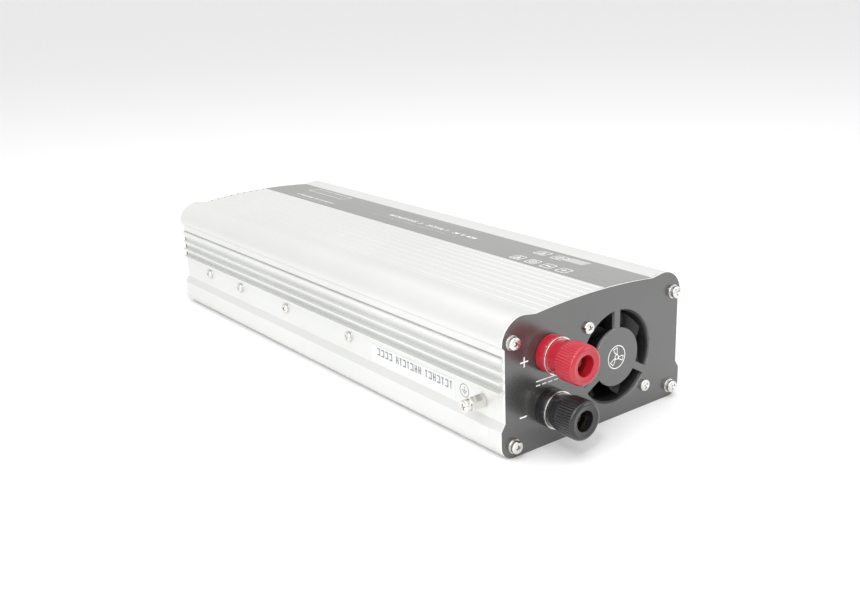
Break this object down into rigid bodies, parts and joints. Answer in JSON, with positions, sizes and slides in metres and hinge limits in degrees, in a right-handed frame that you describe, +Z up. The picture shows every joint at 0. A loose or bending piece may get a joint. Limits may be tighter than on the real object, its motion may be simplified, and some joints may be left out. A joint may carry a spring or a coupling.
{
  "type": "power inverter",
  "caption": "Flat extruded-aluminium power inverter with a DC end carrying a fan grille and two screw binding posts, and an AC end with outlets and a rocker switch",
  "frame": {"origin": "middle of the flat underside", "axes": "+Y along the case from the DC end to the AC end, +X across, +Z up"},
  "size_m": [0.1616, 0.4386, 0.0851],
  "materials": {
    "case_aluminium": "satin natural anodised extrusion",
    "panel_grey": "semi-gloss dark grey",
    "label_grey": "satin printed film",
    "sticker": "matt film",
    "nickel": "bright nickel plate",
    "zinc": "zinc plate",
    "red_plastic": "gloss moulded",
    "black_plastic": "gloss moulded",
    "fan_plastic": "matt moulded",
    "brass": "turned",
    "bearing_bronze": "sintered",
    "board_green": "solder mask",
    "ferrite": "matt ferrite",
    "copper_wire": "enamelled wire",
    "can_sleeve": "shrink sleeve",
    "pad_grey": "thermal pad",
    "epoxy_black": "moulded epoxy",
    "fuse_orange": "translucent moulding",
    "red_sleeve": "cable sleeve",
    "black_sleeve": "cable sleeve",
    "earth_sleeve": "cable sleeve",
    "outlet_plastic": "moulded",
    "lamp": "tinted dome",
    "bar_aluminium": "sawn bar"
  },
  "bodies": {
    "case": {"ac_contacts": "brass", "ac_end_panel": "panel_grey", "ac_leads": "black_sleeve", "ac_outlet_left": "outlet_plastic", "ac_outlet_right": "outlet_plastic", "black_dc_lead": "black_sleeve", "black_post_collar": "black_plastic", "black_post_stud": "brass", "blade_fuses": "fuse_orange", "board_screws": "zinc", "board_standoffs": "brass", "board_terminals": "zinc", "bulk_capacitors": "can_sleeve", "clamp_bars": "bar_aluminium", "control_board": "board_green", "corner_flat_washers": "nickel", "corner_screws": "nickel", "corner_spring_washers": "nickel", "dc_end_panel": "panel_grey", "earth_lead": "earth_sleeve", "fan_bearing": "bearing_bronze", "fan_frame": "fan_plastic", "fan_screws": "nickel", "fan_stator": "copper_wire", "fuse_holders": "epoxy_black", "ground_screw": "nickel", "ground_standoff": "nickel", "ground_washers": "nickel", "indicator_lamps": "lamp", "input_capacitors": "can_sleeve", "insulating_pads": "pad_grey", "lead_lugs": "zinc", "lower_case": "case_aluminium", "main_board": "board_green", "output_choke": "copper_wire", "post_bushes": "epoxy_black", "post_nuts": "brass", "post_spring_washers": "zinc", "power_transistors": "epoxy_black", "red_dc_lead": "red_sleeve", "red_post_collar": "red_plastic", "red_post_stud": "brass", "side_screws": "nickel", "side_stickers": "sticker", "small_nuts": "zinc", "switch_housing": "outlet_plastic", "top_cover": "case_aluminium", "top_label": "label_grey", "transformer_cores": "ferrite", "transformer_windings": "copper_wire", "usb_socket": "zinc"},
    "fan_rotor": {"fan_rotor": "fan_plastic", "fan_shaft": "zinc"},
    "red_washer": {"red_clamp_washer": "nickel"},
    "red_knob": {"red_knob": "red_plastic", "red_knob_insert": "brass"},
    "black_washer": {"black_clamp_washer": "nickel"},
    "black_knob": {"black_knob": "black_plastic", "black_knob_insert": "brass"},
    "rocker": {"power_rocker": "outlet_plastic"}
  },
  "joints": [
    {"name": "fan_spin", "type": "hinge", "parent": "case", "child": "fan_rotor", "pos_m": [0.0175, -0.19, 0.0393], "axis": [0, -1, 0], "continuous": true},
    {"name": "red_post_slide", "type": "slide", "parent": "case", "child": "red_washer", "axis": [0, -1, 0], "range_m": [0, 0.005]},
    {"name": "red_post_turn", "type": "hinge", "parent": "red_washer", "child": "red_knob", "pos_m": [-0.038, -0.215, 0.0566], "axis": [0, -1, 0], "range_deg": [0, 1440]},
    {"name": "black_post_slide", "type": "slide", "parent": "case", "child": "black_washer", "axis": [0, -1, 0], "range_m": [0, 0.005]},
    {"name": "black_post_turn", "type": "hinge", "parent": "black_washer", "child": "black_knob", "pos_m": [-0.038, -0.215, 0.0236], "axis": [0, -1, 0], "range_deg": [0, 1440]},
    {"name": "power_rocker", "type": "hinge", "parent": "case", "child": "rocker", "pos_m": [0.051, 0.2016, 0.054], "axis": [-1, 0, 0], "range_deg": [0, 20]}
  ],
  "couplings": [
    {"joint": "red_post_slide", "follows": "red_post_turn", "m_per_rad": 0.00019894},
    {"joint": "black_post_slide", "follows": "black_post_turn", "m_per_rad": 0.00019894}
  ]
}
